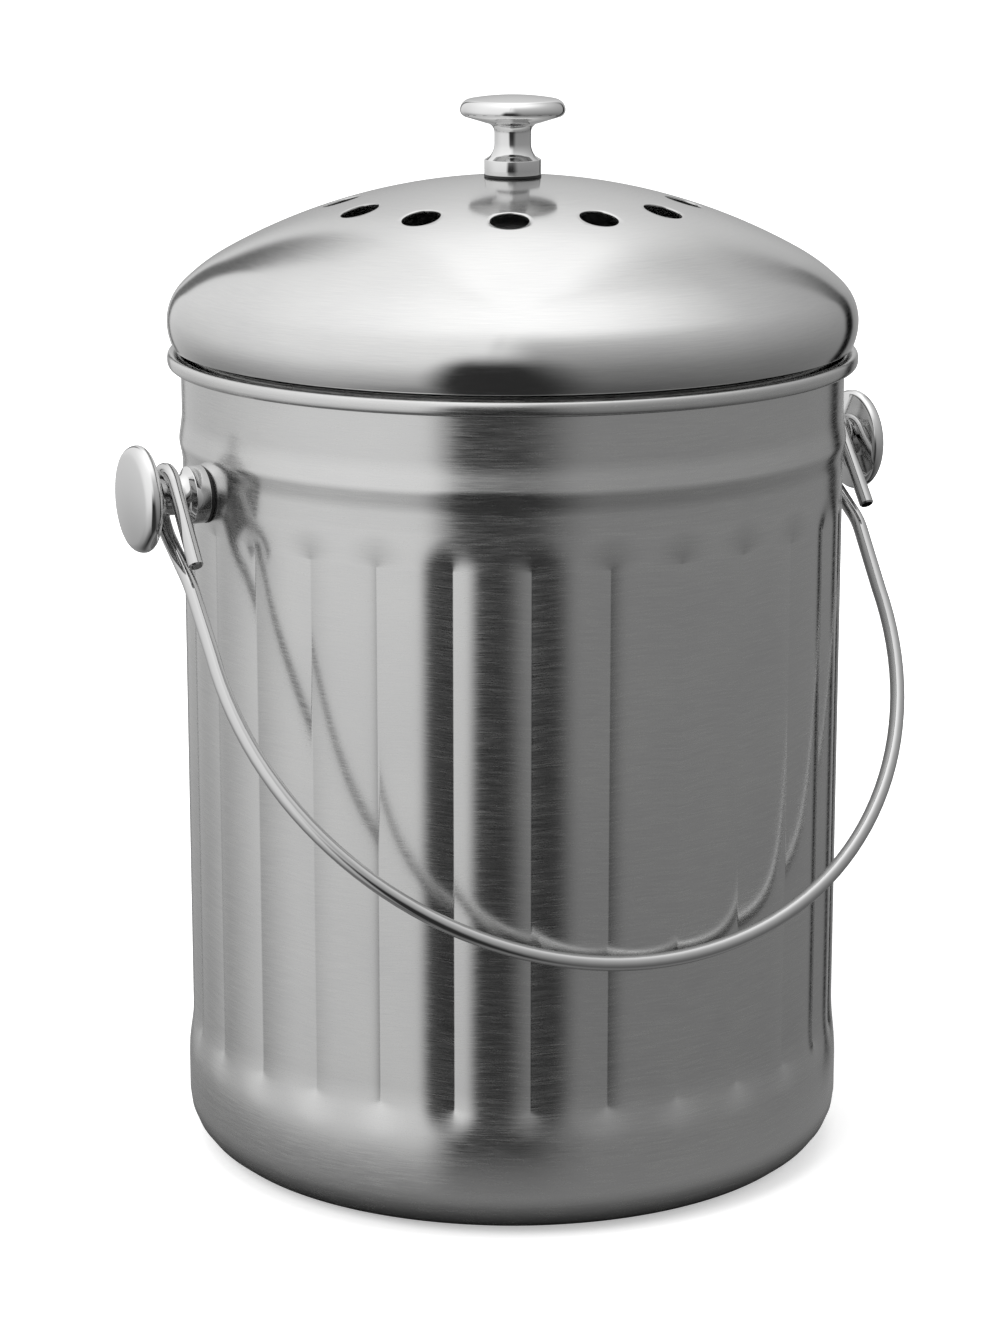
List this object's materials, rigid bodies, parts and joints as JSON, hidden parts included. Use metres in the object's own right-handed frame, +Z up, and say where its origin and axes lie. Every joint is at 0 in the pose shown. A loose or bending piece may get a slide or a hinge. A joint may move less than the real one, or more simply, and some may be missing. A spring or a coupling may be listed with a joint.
{
  "type": "compost caddy",
  "caption": "Round fluted steel pail with a domed lift-off lid, vent holes over a charcoal filter, a turned knob, and a wire bail on two side studs.",
  "frame": {"origin": "centre of the pail's base, on the plane that it stands on", "axes": "+Z up along the pail's axis; the two side studs lie on +X and -X; the bail hangs down in front, towards -Y"},
  "size_m": [0.1984, 0.1673, 0.258],
  "materials": {
    "brushed_pail_steel": "fine circumferential brushing, satin",
    "brushed_lid_steel": "fine circumferential brushing, satin",
    "polished_chrome": "mirror polished",
    "polished_wire": "polished round wire",
    "zinc_plated_steel": "bright zinc plate",
    "black_rubber": "matt",
    "charcoal_felt": "coarse matt felt",
    "black_moulded_plastic": "fine moulded texture"
  },
  "bodies": {
    "pail": {"pail_body": "brushed_pail_steel", "left_handle_stud": "polished_chrome", "right_handle_stud": "polished_chrome", "left_stud_gasket": "black_rubber", "right_stud_gasket": "black_rubber", "left_stud_washer": "zinc_plated_steel", "right_stud_washer": "zinc_plated_steel", "left_stud_lock_washer": "zinc_plated_steel", "right_stud_lock_washer": "zinc_plated_steel", "left_stud_screw": "zinc_plated_steel", "right_stud_screw": "zinc_plated_steel"},
    "bail": {"bail_handle": "polished_wire"},
    "lid": {"lid_dome": "brushed_lid_steel", "lid_skirt": "brushed_lid_steel", "lid_knob": "polished_chrome", "lid_knob_gasket": "black_rubber", "lid_knob_washer": "zinc_plated_steel", "lid_knob_lock_washer": "zinc_plated_steel", "lid_knob_screw": "zinc_plated_steel"},
    "filter": {"charcoal_filter": "charcoal_felt", "filter_retaining_ring": "black_moulded_plastic"}
  },
  "joints": [
    {"name": "bail_swing", "type": "hinge", "parent": "pail", "child": "bail", "pos_m": [0, 0, 0.168], "axis": [-1, 0, 0], "range_deg": [0, 281.8]},
    {"name": "lid_lift", "type": "slide", "parent": "pail", "child": "lid", "axis": [0, 0, 1], "range_m": [0, 0.2]},
    {"name": "filter_pull", "type": "slide", "parent": "lid", "child": "filter", "axis": [0, 0, -1], "range_m": [0, 0.01]}
  ]
}
